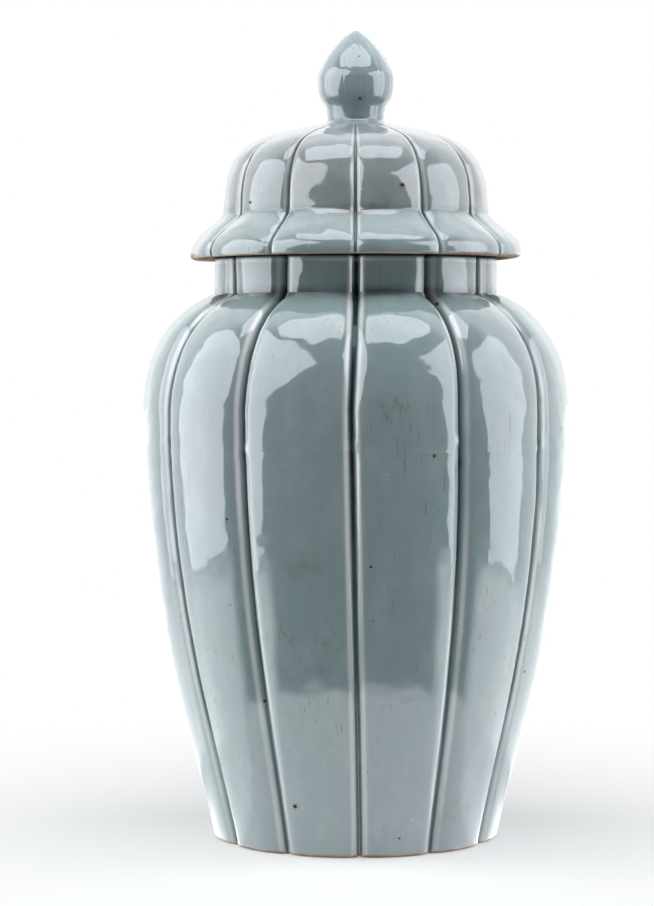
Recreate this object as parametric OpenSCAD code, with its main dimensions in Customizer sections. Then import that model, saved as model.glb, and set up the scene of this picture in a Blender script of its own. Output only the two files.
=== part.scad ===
// Lobed baluster ginger jar with a domed lid and a bud finial, in glazed stoneware.
// Millimetres. +Z is up and the origin is at the centre of the foot, on the surface it stands on.

/* [Jar body] */
// Height from the foot to the mouth rim
jar_h = 411; // [400:1:425]
// Largest radius, over the lobes
belly_r = 149.5; // [142:0.5:158]
// Height of the widest point
belly_z = 294; // [280:1:302]
// Radius of the foot, over the lobes
foot_r = 99; // [92:1:106]
// Outer radius of the neck, over the lobes
neck_r = 99; // [97:0.5:103]
// Height at which the neck meets the shoulder
neck_z = 377; // [374:1:384]
// Height of the luted seam between the two body sections
seam_z = 272; // [240:1:288]
// Radius of the mouth
mouth_r = 84; // [80:0.5:85]
// Thickness of the wall behind the grooves
wall_t = 4.5; // [4:0.5:7]
// Thickness of the floor
floor_t = 12; // [8:1:16]

/* [Foot] */
// Width of the bare ring that the jar stands on
foot_ring_w = 13; // [10:1:16]
// Depth of the recess inside the foot ring
foot_recess = 5; // [3:0.5:7]
// Height of the softened edge at the bottom
foot_edge = 2; // [1:0.5:3]

/* [Lobes] */
// Number of lobes around the jar and the lid
lobe_count = 12; // [10:1:14]
// How far the middle of a lobe stands proud of its sides, at the belly
lobe_swell = 4; // [2:0.5:5]
// Depth of the grooves between the lobes
groove_d = 5; // [3:0.5:5.5]
// Half of the width of a groove
groove_w = 2.5; // [2:0.1:3.2]

/* [Lid] */
// Height of the lid from its seat on the mouth rim to the foot of the finial
lid_h = 84; // [80:1:90]
// Radius of the dome, over the lobes
dome_r = 92.5; // [91:0.5:95]
// Height of the fold between brim and dome, above the seat
brim_h = 21; // [18:1:24]
// Radius of the brim, over the lobes
brim_r = 115.6; // [112:0.2:120]
// How far the edge of the brim hangs below the seat
brim_drop = 9; // [6:1:11]
// Clearance between the mouth rim and the lid's seat
seat_gap = 0.3; // [0.1:0.1:0.6]
// Width of the bare edge under the brim
brim_edge_w = 6; // [4:0.5:8]
// Thickness of the dome behind its grooves
lid_wall_t = 4.9; // [3.5:0.1:5.5]
// Depth of the lid's grooves
lid_groove_d = 2.2; // [1.5:0.1:3]
// Half of the width of a groove of the lid
lid_groove_w = 1.8; // [1.4:0.1:2.6]
// Swell of the lid's lobes
lid_swell = 2.2; // [1:0.2:3]
// How far the lid is turned on its seat, in degrees
lid_turn = 2.5; // [-15:0.5:15]

/* [Locating ring] */
// Gap between the ring and the mouth, on the radius
ring_gap = 2; // [1:0.5:3]
// Thickness of the ring
ring_t = 6; // [4:0.5:7]
// How far the ring reaches down into the neck
ring_h = 18; // [12:1:24]

/* [Finial] */
// Height of the finial
finial_h = 65; // [58:1:70]
// Largest radius of the bud
bud_r = 26.3; // [24:0.1:28]
// Radius of the waist under the bud
waist_r = 19.6; // [17:0.1:21]

/* [Hidden] */

glaze = [0.63, 0.71, 0.72];
glaze_deep = [0.57, 0.66, 0.67];
bare_clay = [0.72, 0.56, 0.42];

// Sides of a turned surface, and rings or points along each curve
round_fn = 96;
lower_steps = 11;
upper_steps = 13;
brim_steps = 6;
dome_steps = 12;
inner_steps = 20;
bud_steps = 10;
// How far a cutter runs past the face that it cuts
over = 1;
// How far a lobed solid runs past the flat faces that it is trimmed to
spare = 3;

// Heights of the lid's levels
seat_z = jar_h;
rim_z = seat_z - brim_drop;
fold_z = seat_z + brim_h;
crown_z = seat_z + lid_h;
tip_z = crown_z + finial_h;

// Belly curve: its lower handle lies out from the foot and up, its upper handle below the widest point
flare_out = 17;
flare_z = 78;
belly_below = 128;
belly_curve = [
    [foot_r, 0],
    [foot_r + flare_out, flare_z],
    [belly_r, belly_z - belly_below],
    [belly_r, belly_z]];

// Shoulder curve: its handles lie above the widest point, and in from it and below the neck
belly_above = 41;
shoulder_in = 15.5;
shoulder_below = 13;
shoulder_curve = [
    [belly_r, belly_z],
    [belly_r, belly_z + belly_above],
    [belly_r - shoulder_in, neck_z - shoulder_below],
    [neck_r, neck_z]];

// Brim curve: it starts over a bare upright edge and flows into the fold
brim_edge_h = 4;
brim_handle_z = 14;
fold_out = 8;
fold_below = 9;
brim_curve = [
    [brim_r, rim_z + brim_edge_h],
    [brim_r, rim_z + brim_handle_z],
    [dome_r + fold_out, fold_z - fold_below],
    [dome_r, fold_z]];

// Dome curve: upright at the fold, then over to the flat crown that carries the finial
crown_r = 23;
dome_below = 14;
dome_in = 17.5;
crown_below = 10;
dome_curve = [
    [dome_r, fold_z],
    [dome_r, crown_z - dome_below],
    [dome_r - dome_in, crown_z - crown_below],
    [crown_r, crown_z]];

// Softened outer edges of the mouth and of the brim
neck_edge = 2;
rim_edge = 2;

// Recess inside the bare ring of the foot
recess_r = foot_r - lobe_swell - groove_d - foot_ring_w;

// The hollow lies this far in from the outline over the lobes
body_inset = lobe_swell + groove_d + wall_t;
inner_floor_z = foot_recess + floor_t;
inner_floor_round = 9;
floor_round_step = 30;
// Height over which the hollow closes in to the straight mouth
mouth_ease = 3;

// Inside of the lid: the ledge that carries the locating ring, and the recess that clears the neck
lid_inset = lid_swell + lid_groove_d + lid_wall_t;
ledge_t = 6;
neck_clearance = 4.5;
seat_recess_r = neck_r + neck_clearance;
rim_in_r = brim_r - rim_edge - brim_edge_w;
// The lid's grooves fade out over the last part of the dome, and its stack draws in above the crown
dome_fade_rate = 1.6;
crown_draw_in = 15;

ring_out_r = mouth_r - ring_gap;
ring_in_r = ring_out_r - ring_t;

// Points and outward normals on a cubic curve
function curve_point(c, t) =
    pow(1 - t, 3) * c[0] + 3 * pow(1 - t, 2) * t * c[1] + 3 * (1 - t) * t * t * c[2] + pow(t, 3) * c[3];
function curve_slope(c, t) =
    3 * pow(1 - t, 2) * (c[1] - c[0]) + 6 * (1 - t) * t * (c[2] - c[1]) + 3 * t * t * (c[3] - c[2]);
function outward(v) = [v[1], -v[0]] / norm(v);
function curve_normal(c, t) = outward(curve_slope(c, t));

// The place on a rising curve that lies at height z, by halving
function t_at(c, z, lo = 0, hi = 1, turns = 18) =
    turns == 0 ? (lo + hi) / 2
    : curve_point(c, (lo + hi) / 2)[1] < z ? t_at(c, z, (lo + hi) / 2, hi, turns - 1)
    : t_at(c, z, lo, (lo + hi) / 2, turns - 1);

// Cross-section of the lobes. Half a lobe has these points: marks across half of a groove and its shoulder,
// as multiples of the groove's half width, then one on the lobe's flank, then the lobe's middle.
lobe_a = 360 / lobe_count;
groove_marks = [0, 0.5, 1, 1.7, 3];
flank_share = 0.55;
half_angles = function(radius, width)
    let (near = [for (m = groove_marks) m * width / radius * 180 / PI])
    let (far = near[len(near) - 1])
    concat(near, [far + (lobe_a / 2 - far) * flank_share, lobe_a / 2]);
marks_per_half = len(groove_marks) + 2;
marks_per_lobe = 2 * marks_per_half - 2;
ring_points = lobe_count * marks_per_lobe;

// Depth below the lobe's crest at an angle from the middle of a groove
function lobe_drop(a, radius, swell, depth, width) =
    swell * pow(1 - a / (lobe_a / 2), 3) + depth / (1 + pow(a * PI / 180 * radius / width, 3));

// One ring of points. A ring is [radius, z, normal, swell, depth, width].
function ring(s) =
    let (half = half_angles(s[0], s[5]))
    [for (k = [0 : lobe_count - 1], m = [0 : marks_per_lobe - 1])
        let (from_groove = m < marks_per_half ? half[m] : half[marks_per_lobe - m])
        let (angle = k * lobe_a - 90 + (m < marks_per_half ? from_groove : lobe_a - from_groove))
        let (drop = lobe_drop(from_groove, s[0], s[3], s[4], s[5]))
        let (radius = s[0] - drop * s[2][0])
        [radius * cos(angle), radius * sin(angle), s[1] - drop * s[2][1]]];

// A closed solid through a stack of rings, with flat ends
module lobed_solid(stack) {
    points = [for (s = stack) each ring(s)];
    sides = [for (i = [0 : len(stack) - 2], j = [0 : ring_points - 1])
        let (k = (j + 1) % ring_points)
        let (low = i * ring_points)
        let (high = low + ring_points)
        each [[low + j, high + j, low + k], [low + k, high + j, high + k]]];
    bottom = [for (j = [0 : ring_points - 1]) j];
    top = [for (j = [ring_points - 1 : -1 : 0]) (len(stack) - 1) * ring_points + j];
    polyhedron(points, concat([bottom], sides, [top]));
}

// Rings of the body. The swell keeps in step with the radius, and the grooves keep their size.
function body_ring(p, n) = [p[0], p[1], n, lobe_swell * p[0] / belly_r, groove_d, groove_w];
level = [1, 0];

// The stacks run past the flat faces at foot, seam, neck and mouth, and are trimmed to them.
seam_t = t_at(belly_curve, seam_z);
edge_t = t_at(belly_curve, foot_edge);

lower_stack = concat(
    [body_ring([foot_r - foot_edge - spare, -spare], level)],
    [for (i = [0 : lower_steps])
        let (t = edge_t + (t_at(belly_curve, seam_z + spare) - edge_t) * i / lower_steps)
        body_ring(curve_point(belly_curve, t), i == 0 ? level : curve_normal(belly_curve, t))]);

upper_stack = concat(
    [body_ring(curve_point(belly_curve, seam_t) - [0, spare], level)],
    [body_ring(curve_point(belly_curve, (1 + seam_t) / 2), curve_normal(belly_curve, (1 + seam_t) / 2))],
    [for (i = [0 : upper_steps - 1])
        let (t = i / upper_steps)
        body_ring(curve_point(shoulder_curve, t), curve_normal(shoulder_curve, t))],
    [body_ring([neck_r, neck_z], level)],
    [body_ring([neck_r - spare, neck_z + spare], level)]);

neck_stack = [
    body_ring([neck_r, neck_z - spare], level),
    body_ring([neck_r, seat_z - neck_edge], level),
    body_ring([neck_r - neck_edge - spare, seat_z + spare], level)];

// Rings of the lid. Its grooves narrow and fade towards the finial.
function lid_ring(p, n, fade) =
    let (share = p[0] / dome_r)
    [p[0], p[1], n, lid_swell * min(1, share) * fade, lid_groove_d * fade, lid_groove_w * min(1, share)];
function dome_fade(t) = min(1, dome_fade_rate * (1 - t));

lid_stack = concat(
    [lid_ring([brim_r - rim_edge * (1 + spare / brim_edge_h), rim_z - spare], level, 1)],
    [for (i = [0 : brim_steps - 1])
        lid_ring(curve_point(brim_curve, i / brim_steps), curve_normal(brim_curve, i / brim_steps), 1)],
    [for (i = [0 : dome_steps - 1])
        let (t = i / dome_steps)
        lid_ring(curve_point(dome_curve, t), curve_normal(dome_curve, t), dome_fade(t))],
    [lid_ring([crown_r - crown_draw_in, crown_z + spare], level, 0)]);

// Hollow of the body, as the outline of one turned space that the sections are cut with
inner_t = t_at(belly_curve, inner_floor_z + inner_floor_round);
inner_foot = curve_point(belly_curve, inner_t) - body_inset * curve_normal(belly_curve, inner_t);
inner_neck = curve_point(shoulder_curve, 1) - body_inset * curve_normal(shoulder_curve, 1);
body_hollow = concat(
    [[0, inner_floor_z]],
    [for (a = [0 : floor_round_step : 90 - floor_round_step])
        [inner_foot[0] - inner_floor_round * (1 - sin(a)), inner_foot[1] - inner_floor_round * cos(a)]],
    [for (i = [0 : inner_steps])
        let (t = inner_t + (1 - inner_t) * i / inner_steps)
        curve_point(belly_curve, t) - body_inset * curve_normal(belly_curve, t)],
    [for (i = [1 : inner_steps])
        let (t = i / inner_steps)
        curve_point(shoulder_curve, t) - body_inset * curve_normal(shoulder_curve, t)],
    [[mouth_r, inner_neck[1] + mouth_ease], [mouth_r, seat_z + over], [0, seat_z + over]]);

// The turned band between two heights, less the hollow and the recess under the foot.
// Each section is trimmed to its band.
module wall_band(low, high) {
    rotate_extrude($fn = round_fn)
    difference() {
        translate([0, low])
        square([belly_r + 2 * spare, high - low]);
        polygon(body_hollow);
        square([recess_r, foot_recess]);
    }
}

// Hollow of the lid: the dome, the ledge that carries the locating ring, and the seat recess
dome_hollow = concat(
    [[0, seat_z - over], [ring_in_r, seat_z - over], [ring_in_r, seat_z + ledge_t]],
    [for (i = [0 : inner_steps])
        let (t = i / inner_steps)
        let (p = curve_point(dome_curve, t) - lid_inset * curve_normal(dome_curve, t))
        if (p[0] > 0) p],
    [[0, crown_z - lid_inset]]);

seat_recess = [
    [0, rim_z - over],
    [rim_in_r + over, rim_z - over],
    [rim_in_r, rim_z],
    [seat_recess_r, seat_z + seat_gap],
    [0, seat_z + seat_gap]];

// The turned band of the lid, less its hollows, that the lid is trimmed to
module lid_band() {
    rotate_extrude($fn = round_fn)
    difference() {
        translate([0, rim_z])
        square([brim_r + 2 * spare, crown_z - rim_z]);
        polygon(seat_recess);
        polygon(dome_hollow);
    }
}

// Outline of the finial: a luted collar, the waist, and the two curves of the bud
collar_out_r = crown_r - 1;
collar_in_r = waist_r + 0.7;
collar_h = 1.2;
waist_z = crown_z + 3;
bud_z = crown_z + 31;
waist_above = 17;
bud_below = 21;
bud_above = 8;
tip_in = 12;
tip_below = 6;
bud_low = [
    [waist_r, waist_z],
    [waist_r, waist_z + waist_above],
    [bud_r, bud_z - bud_below],
    [bud_r, bud_z]];
bud_high = [
    [bud_r, bud_z],
    [bud_r, bud_z + bud_above],
    [bud_r - tip_in, tip_z - tip_below],
    [0, tip_z]];

finial_outline = concat(
    [[0, crown_z], [collar_out_r, crown_z], [collar_in_r, crown_z + collar_h]],
    [for (i = [0 : bud_steps]) curve_point(bud_low, i / bud_steps)],
    [for (i = [1 : bud_steps]) curve_point(bud_high, i / bud_steps)]);

module jar_lower_section() {
    color(glaze)
    intersection() {
        lobed_solid(lower_stack);
        wall_band(0, seam_z);
    }
}

module jar_upper_section() {
    color(glaze)
    intersection() {
        lobed_solid(upper_stack);
        wall_band(seam_z, neck_z);
    }
}

module jar_neck() {
    color(glaze_deep)
    intersection() {
        lobed_solid(neck_stack);
        wall_band(neck_z, seat_z);
    }
}

module lid_shell() {
    color(glaze)
    rotate([0, 0, lid_turn])
    intersection() {
        lobed_solid(lid_stack);
        lid_band();
    }
}

module lid_locating_ring() {
    color(bare_clay)
    translate([0, 0, seat_z - ring_h])
    difference() {
        cylinder(r = ring_out_r, h = ring_h + seat_gap, $fn = round_fn);
        translate([0, 0, -over])
        cylinder(r = ring_in_r, h = ring_h + seat_gap + 2 * over, $fn = round_fn);
    }
}

module lid_finial() {
    color(glaze_deep)
    rotate_extrude($fn = round_fn)
    polygon(finial_outline);
}

jar_lower_section();
jar_upper_section();
jar_neck();
lid_shell();
lid_locating_ring();
lid_finial();
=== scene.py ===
"""Looks of the lobed celadon ginger jar: meshes, glaze, bare clay, studio light and camera.

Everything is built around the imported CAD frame, in metres, with +Z up and the front towards -Y.
"""
import math

import bpy
import numpy as np
from mathutils import Matrix, Vector


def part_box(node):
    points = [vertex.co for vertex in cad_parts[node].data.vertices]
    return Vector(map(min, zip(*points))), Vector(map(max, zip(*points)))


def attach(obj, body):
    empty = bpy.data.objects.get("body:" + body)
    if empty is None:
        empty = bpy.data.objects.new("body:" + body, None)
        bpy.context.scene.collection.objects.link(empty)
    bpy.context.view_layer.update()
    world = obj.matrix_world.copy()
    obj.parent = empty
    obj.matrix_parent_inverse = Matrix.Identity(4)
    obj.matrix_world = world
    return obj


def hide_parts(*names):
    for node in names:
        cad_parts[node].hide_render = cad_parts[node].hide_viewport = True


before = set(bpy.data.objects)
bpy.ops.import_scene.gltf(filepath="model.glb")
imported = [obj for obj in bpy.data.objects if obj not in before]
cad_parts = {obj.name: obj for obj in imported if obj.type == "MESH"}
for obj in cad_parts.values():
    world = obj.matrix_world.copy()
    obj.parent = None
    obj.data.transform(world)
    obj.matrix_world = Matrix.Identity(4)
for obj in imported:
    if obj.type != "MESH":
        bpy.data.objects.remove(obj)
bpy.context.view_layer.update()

MM = 0.001


# ---------------------------------------------------------------- sizes, read from the frame

def corners(node):
    """The corners of a CAD node, one row each."""
    return np.array([v.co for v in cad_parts[node].data.vertices])


def reach(node):
    """The largest distance of a CAD node from the jar's axis."""
    co = corners(node)
    return float(np.hypot(co[:, 0], co[:, 1]).max())


def bottom(node):
    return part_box(node)[0].z


def top(node):
    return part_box(node)[1].z


SEAM_Z = top("jar_lower_section")
NECK_Z = top("jar_upper_section")
SEAT_Z = top("jar_neck")
RIM_Z = bottom("lid_shell")
CROWN_Z = top("lid_shell")
TIP_Z = top("lid_finial")
RING_Z = bottom("lid_locating_ring")
# The glaze swims outward by up to 1 mm, and stays inside the CAD
BELLY_R = reach("jar_upper_section") - 1.0 * MM
NECK_R = reach("jar_neck")
BRIM_R = reach("lid_shell")
RING_R = reach("lid_locating_ring")
BUD_R = reach("lid_finial")
MOUTH_R = RING_R + 2 * MM
RING_IN_R = RING_R - 6 * MM

# The jar's foot, floor, walls and neck. The walls leave clay under the deep grooves.
FOOT_R = 99 * MM
FOOT_EDGE = 2 * MM
BELLY_Z = 294 * MM
BODY_WALL = 14.5 * MM
FLOOR_Z = 17 * MM
FLOOR_ROUND = 9 * MM
RECESS_Z = 5 * MM
RECESS_R = 77 * MM
NECK_EDGE = 2 * MM

# The lid's fold between brim and dome, its crown, seat, walls and knob
FOLD_Z = SEAT_Z + 21 * MM
DOME_R = 92.5 * MM
CROWN_R = 23 * MM
LID_SEAT_Z = top("lid_locating_ring")
LEDGE_TOP_Z = SEAT_Z + 6 * MM
LID_WALL = 9.3 * MM
SEAT_RECESS_R = NECK_R + 4.5 * MM
RIM_IN_R = BRIM_R - 8 * MM
WAIST_R = 19.6 * MM
WAIST_Z = CROWN_Z + 3 * MM
BUD_Z = CROWN_Z + 31 * MM

# The lobes and the grooves between them, on the body and on the lid
LOBES = 12
LOBE_SWELL = 4 * MM
GROOVE_D = 7.3 * MM
GROOVE_W = 8 * MM
LID_SWELL = 2.2 * MM
LID_GROOVE_D = 2.7 * MM
LID_GROOVE_W = 4.8 * MM
LID_TURN = math.radians(0.1)

# Outline curves, each with its two ends and its two handles
BELLY = [
    (FOOT_R, 0),
    (FOOT_R + 17 * MM, 78 * MM),
    (BELLY_R, BELLY_Z - 128 * MM),
    (BELLY_R, BELLY_Z),
]
SHOULDER = [
    (BELLY_R, BELLY_Z),
    (BELLY_R, BELLY_Z + 41 * MM),
    (BELLY_R - 15.5 * MM, NECK_Z - 13 * MM),
    (NECK_R, NECK_Z),
]
BRIM = [
    (BRIM_R, RIM_Z + 4 * MM),
    (BRIM_R, RIM_Z + 14 * MM),
    (DOME_R + 8 * MM, FOLD_Z - 9 * MM),
    (DOME_R, FOLD_Z),
]
DOME = [
    (DOME_R, FOLD_Z),
    (DOME_R, CROWN_Z - 14 * MM),
    (DOME_R - 17.5 * MM, CROWN_Z - 10 * MM),
    (CROWN_R, CROWN_Z),
]
BUD_LOW = [
    (WAIST_R, WAIST_Z),
    (WAIST_R, WAIST_Z + 17 * MM),
    (BUD_R, BUD_Z - 21 * MM),
    (BUD_R, BUD_Z),
]
BUD_HIGH = [
    (BUD_R, BUD_Z),
    (BUD_R, BUD_Z + 8 * MM),
    (BUD_R - 12 * MM, TIP_Z - 6 * MM),
    (0, TIP_Z),
]


# ---------------------------------------------------------------- curves and small irregularities

def on_curve(handles, t):
    """Points and outward normals of a rising cubic curve at the shares t."""
    p = np.array(handles, float)
    t = np.asarray(t, float)[:, None]
    s = 1 - t
    points = s**3 * p[0] + 3 * s**2 * t * p[1] + 3 * s * t**2 * p[2] + t**3 * p[3]
    slopes = 3 * s**2 * (p[1] - p[0]) + 6 * s * t * (p[2] - p[1]) + 3 * t**2 * (p[3] - p[2])
    normals = np.stack([slopes[:, 1], -slopes[:, 0]], 1)
    return points, normals / np.linalg.norm(normals, axis=1, keepdims=True)


def share_at(handles, z):
    """The share of a rising curve that lies at height z."""
    t = np.linspace(0, 1, 2001)
    return float(np.interp(z, on_curve(handles, t)[0][:, 1], t))


def wave_field(seed, wavelength, count=28):
    """A smooth random field in space, with unit spread.

    It adds up waves of about one length in random directions.
    """
    rng = np.random.default_rng(seed)
    directions = rng.normal(size=(count, 3))
    directions /= np.linalg.norm(directions, axis=1, keepdims=True)
    waves = directions * (2 * math.pi / (wavelength * rng.uniform(0.7, 1.5, (count, 1))))
    phases = rng.uniform(0, 2 * math.pi, count)

    def field(co):
        return np.sin(co @ waves.T + phases).sum(1) / math.sqrt(count / 2)
    return field


def bell(away, width, power=2):
    """1 where away is 0, falling smoothly to 0 past the width."""
    return np.exp(-((away / width) ** power))


# How the glaze's surface swims, and by how much
glaze_swim, SWIM_HEIGHT = wave_field(11, 46 * MM), 0.16 * MM
glaze_ripple, RIPPLE_HEIGHT = wave_field(12, 17 * MM), 0.08 * MM
glaze_pucker, PUCKER_HEIGHT = wave_field(15, 9 * MM), 0.02 * MM
# How the seam between the body's sections wanders, and how each groove strays from its place
seam_wander = wave_field(13, 90 * MM)
GROOVE_WANDER = np.random.default_rng(5).normal(0, math.radians(0.3), LOBES)
# How far from the seam each half lobe's edge is kinked by it
LUTE_STEP = np.random.default_rng(6).normal(0, 3.2 * MM, 2 * LOBES)
# How far the grooves of the body lean round the jar, by height
LEAN_HEIGHTS = [0, 0.16, 0.30, NECK_Z, SEAT_Z]
LEANS = np.radians([2.0, 0.2, -0.9, 0.4, 0.6])


def body_twist(z):
    return float(np.interp(z, LEAN_HEIGHTS, LEANS))


# ---------------------------------------------------------------- rings of corners

# Places across a groove, in shares of its half width, close together where its bottom is narrow.
# Over the rest of the half lobe the columns are evenly spaced.
NEAR_MARKS = np.array(
    [0, 0.05, 0.085, 0.11, 0.135, 0.16, 0.185, 0.22, 0.28, 0.4, 0.58, 0.76, 0.92, 1.04, 1.18, 1.4]
)
FAR_MARKS = 8
HALF = len(NEAR_MARKS) + FAR_MARKS
MARK = np.tile(np.concatenate([np.arange(HALF), np.arange(HALF - 2, 0, -1)]), LOBES)
LOBE_POINTS = 2 * HALF - 2
LOBE = np.repeat(np.arange(LOBES), LOBE_POINTS)
SECOND_HALF = np.tile(np.arange(LOBE_POINTS) >= HALF, LOBES)
COLUMNS = LOBES * LOBE_POINTS
HALF_LOBE = math.pi / LOBES


def column_angles(radius, width, turn=0.0, wander=1.0):
    """Angle of each column of corners round the axis, and its angle from the nearest groove."""
    near = NEAR_MARKS * width / radius
    far = near[-1] + (HALF_LOBE - near[-1]) * np.arange(1, FAR_MARKS + 1) / FAR_MARKS
    from_groove = np.concatenate([near, far])[MARK]
    across = np.where(SECOND_HALF, 2 * HALF_LOBE - from_groove, from_groove)
    share = across / (2 * HALF_LOBE)
    lean = GROOVE_WANDER[LOBE] * (1 - share) + GROOVE_WANDER[(LOBE + 1) % LOBES] * share
    return LOBE * 2 * HALF_LOBE + across - math.pi / 2 + turn + wander * lean, from_groove


# Shape of a groove across. Distances are in shares of its half width.
SLOPED_SHARE = 0.40
EDGE_SOFTNESS = 0.18
SIDE_CURVE = 1.15
CUT_SHARE = 0.155
CUT_STEEPNESS = 5
# Its bottom is dark, partly pooled glaze and partly painted shade, and its sides carry a pale line,
# partly thin glaze and partly a painted highlight
POOL_AND_SHADE_WIDTH = 0.14
CREST_AT, CREST_WIDTH = 0.52, 0.2
# Shallower grooves than this have fainter dark pools and pale lines, so less painted shade and
# painted highlight
FULL_DEPTH = 1.2 * MM


def groove_profile(distance):
    """Depth of a groove, 1 at its middle: sloping sides with a steep-walled channel between."""
    side = 1 - distance
    sloped = 0.5 * (side + np.sqrt(side**2 + EDGE_SOFTNESS**2))
    level = 0.5 * (1 + math.sqrt(1 + EDGE_SOFTNESS**2))
    channel = 1 / (1 + (distance / CUT_SHARE) ** CUT_STEEPNESS)
    return SLOPED_SHARE * (sloped / level) ** SIDE_CURVE + (1 - SLOPED_SHARE) * channel


class Ring:
    """One closed ring of corners with what the glaze does there.

    Pool (pooled glaze and painted shade), crest (thin glaze and painted highlight), stain and
    painted shade run from 0 to 1. Bare is millimetres past the glaze line.
    """

    def __init__(self, co, pool=0.0, crest=0.0, bare=-20.0, stain=0.0, soot=0.0):
        self.co = co
        self.pool = np.broadcast_to(pool, COLUMNS)
        self.crest = np.broadcast_to(crest, COLUMNS)
        self.bare = np.broadcast_to(bare, COLUMNS)
        self.stain = np.broadcast_to(stain, COLUMNS)
        self.soot = np.broadcast_to(soot, COLUMNS)


def lobed_ring(
    point, normal, swell, depth, width, turn=0.0, wander=1.0, swim=1.0, pinch=0.0, **looks
):
    """A ring across the lobes. The corners lie in from the outline along its normal."""
    radius, z = point
    angle, from_groove = column_angles(radius, width, turn, wander)
    distance = from_groove * radius / width
    depth = depth * (1 - pinch)
    valley = groove_profile(distance)
    drop = swell * (1 - from_groove / HALF_LOBE) ** 3 + depth * valley
    r = radius - drop * normal[0]
    co = np.stack([r * np.cos(angle), r * np.sin(angle), z - drop * normal[1] + 0 * r], 1)
    waves = SWIM_HEIGHT * glaze_swim(co) + RIPPLE_HEIGHT * glaze_ripple(co)
    waves = waves + PUCKER_HEIGHT * glaze_pucker(co)
    push = swim * waves * (1 - valley)
    r = r + push * normal[0]
    co = np.stack([r * np.cos(angle), r * np.sin(angle), co[:, 2] + push * normal[1]], 1)
    fade = np.minimum(1.0, depth / FULL_DEPTH)
    # The groove's dark bottom is partly pooled glaze and partly painted shade; the pale line on its
    # sides is partly thin glaze and partly a painted highlight
    pool = bell(distance, POOL_AND_SHADE_WIDTH, 4) * fade
    crest = bell(distance - CREST_AT, CREST_WIDTH, 4) * fade
    looks["pool"] = np.clip(pool + looks.pop("extra_pool", 0.0), 0, 1)
    return Ring(co, crest=crest, **looks)


def round_ring(radius, z, turn=0.0, **looks):
    """A plain round ring whose columns line up with the lobed ones."""
    angle, _ = column_angles(NECK_R, GROOVE_W, turn)
    co = np.stack([radius * np.cos(angle), radius * np.sin(angle), np.full(COLUMNS, z)], 1)
    return Ring(co, **looks)


def fillet(centre, size, start, end, steps=4):
    """Points of a small round edge. Start and end are degrees up from level outward."""
    turns = np.radians(np.linspace(start, end, steps + 1))
    return [(centre[0] + size * math.cos(a), centre[1] + size * math.sin(a)) for a in turns]


# Places of the glaze and the bare clay among every piece's materials
GLAZED, RAW = 0, 1


class Skin:
    """A closed surface laid over a row of rings. Each ring has the finish of the strip after it."""

    def __init__(self):
        self.rings = []
        self.finishes = []
        self.creases = []

    def add(self, ring, finish=GLAZED, crease=False):
        self.rings.append(ring)
        self.finishes.append(finish)
        self.creases.append(crease)

    def rounds(self, points, finish=GLAZED, crease=False, **looks):
        """Adds plain round rings through points of an outline."""
        for radius, z in points:
            self.add(round_ring(radius, z, **looks), finish, crease)

    def end_with_joint(self):
        """The last ring is the edge of the raw clay that meets another piece."""
        self.creases[-1] = True
        self.finishes[-1] = RAW

    def build(self, name, looped):
        """Makes the object.

        A looped skin joins its last ring to its first. Another one closes on two poles.
        """
        count = len(self.rings)
        co = np.concatenate([r.co for r in self.rings])
        looks = {
            key: np.concatenate([getattr(r, key) for r in self.rings])
            for key in ("pool", "crest", "bare", "stain", "soot")
        }
        j = np.arange(COLUMNS)
        k = (j + 1) % COLUMNS
        faces, finish = [], []
        for i in range(count if looped else count - 1):
            low, high = i * COLUMNS, ((i + 1) % count) * COLUMNS
            faces += np.stack([low + j, low + k, high + k, high + j], 1).tolist()
            finish += [self.finishes[i]] * COLUMNS
        if not looped:
            poles = np.array([self.rings[0].co.mean(0), self.rings[-1].co.mean(0)])
            first, last = count * COLUMNS, (count - 1) * COLUMNS
            faces += np.stack([k, j, np.full(COLUMNS, first)], 1).tolist()
            faces += np.stack([last + j, last + k, np.full(COLUMNS, first + 1)], 1).tolist()
            finish += [self.finishes[0]] * COLUMNS + [self.finishes[-1]] * COLUMNS
            co = np.concatenate([co, poles])
            looks = {key: np.append(v, [v[0], v[-1]]) for key, v in looks.items()}
        mesh = bpy.data.meshes.new(name)
        mesh.from_pydata(co.tolist(), [], faces)
        for material in (GLAZE, CLAY):
            mesh.materials.append(material)
        mesh.polygons.foreach_set("material_index", finish)
        mesh.polygons.foreach_set("use_smooth", [True] * len(faces))
        for key, values in looks.items():
            layer = mesh.attributes.new(key, "FLOAT", "POINT")
            layer.data.foreach_set("value", values.astype(np.float32))
        self._crease(mesh)
        mesh.validate()
        obj = bpy.data.objects.new(name, mesh)
        bpy.context.scene.collection.objects.link(obj)
        return obj

    def _crease(self, mesh):
        """Marks the edges that run round a creased ring as sharp."""
        ends = np.empty(2 * len(mesh.edges), np.int32)
        mesh.edges.foreach_get("vertices", ends)
        ring_of = ends.reshape(-1, 2) // COLUMNS
        creased = np.append(self.creases, [False, False])
        same = ring_of[:, 0] == ring_of[:, 1]
        sharp = same & creased[np.minimum(ring_of[:, 0], len(creased) - 1)]
        layer = mesh.attributes.new("sharp_edge", "BOOLEAN", "EDGE")
        layer.data.foreach_set("value", sharp)


# ---------------------------------------------------------------- node helpers

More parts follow.
